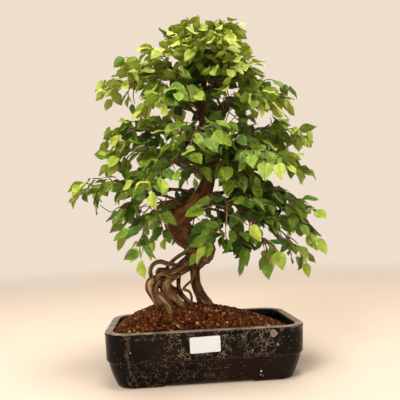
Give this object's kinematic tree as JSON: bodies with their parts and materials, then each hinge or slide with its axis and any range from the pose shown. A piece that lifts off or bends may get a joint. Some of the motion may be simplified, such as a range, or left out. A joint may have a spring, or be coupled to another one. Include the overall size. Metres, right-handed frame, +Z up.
{
  "type": "korean hornbeam bonsai",
  "caption": "Small deciduous tree with exposed roots and toothed oval leaves, grown in a granular soil mound in a dark glazed rectangular pot.",
  "frame": {"origin": "centre of the pot's foot plane, on the surface that it stands on", "axes": "+Z up, +X along the pot's long side to the right seen from the front, +Y to the back; the sticker is on the -Y side"},
  "size_m": [0.383, 0.2822, 0.5487],
  "materials": {
    "glaze": "glossy dark brown glaze with thin pinkish drips and flecks, pale taupe on the rim",
    "granules": "dull reddish brown fired clay and lava granules, some tan",
    "net": "black plastic mesh",
    "paper": "blank white sticker",
    "bark": "warm brown bark, dull, lighter tan on the ridges of the roots",
    "leaf": "satin mid green leaves with parallel veins, brighter yellow-green at the tips"
  },
  "bodies": {
    "root": {"pot": "glaze", "soil": "granules", "drain_screen_left": "net", "drain_screen_right": "net", "label": "paper", "tree": "bark", "spray_left_inner_low": "leaf", "spray_left_low_front": "leaf", "spray_left_low": "leaf", "spray_left_low_back": "leaf", "spray_left_long": "leaf", "spray_left_front": "leaf", "spray_left_middle": "leaf", "spray_left_back": "leaf", "spray_left_upper": "leaf", "spray_top_left": "leaf", "spray_top_left_back": "leaf", "spray_top_left_front": "leaf", "spray_top_left_crown": "leaf", "spray_crown": "leaf", "spray_crown_middle": "leaf", "spray_crown_back": "leaf", "spray_crown_front": "leaf", "spray_top_right": "leaf", "spray_top_right_back": "leaf", "spray_front_right_upper": "leaf", "spray_right_upper": "leaf", "spray_right_upper_back": "leaf", "spray_back_upper": "leaf", "spray_front_upper": "leaf", "spray_right_upper_front": "leaf", "spray_right_middle": "leaf", "spray_right_middle_low": "leaf", "spray_right_inner_front": "leaf", "spray_right_front": "leaf", "spray_right_long": "leaf", "spray_right_back": "leaf", "spray_back_middle": "leaf", "spray_front_middle": "leaf", "spray_right_low": "leaf", "spray_right_low_end": "leaf", "spray_right_low_front": "leaf", "spray_right_inner_low": "leaf", "spray_right_low_back": "leaf", "spray_front_low": "leaf", "spray_trunk_front": "leaf", "spray_back_low": "leaf"}
  },
  "joints": []
}
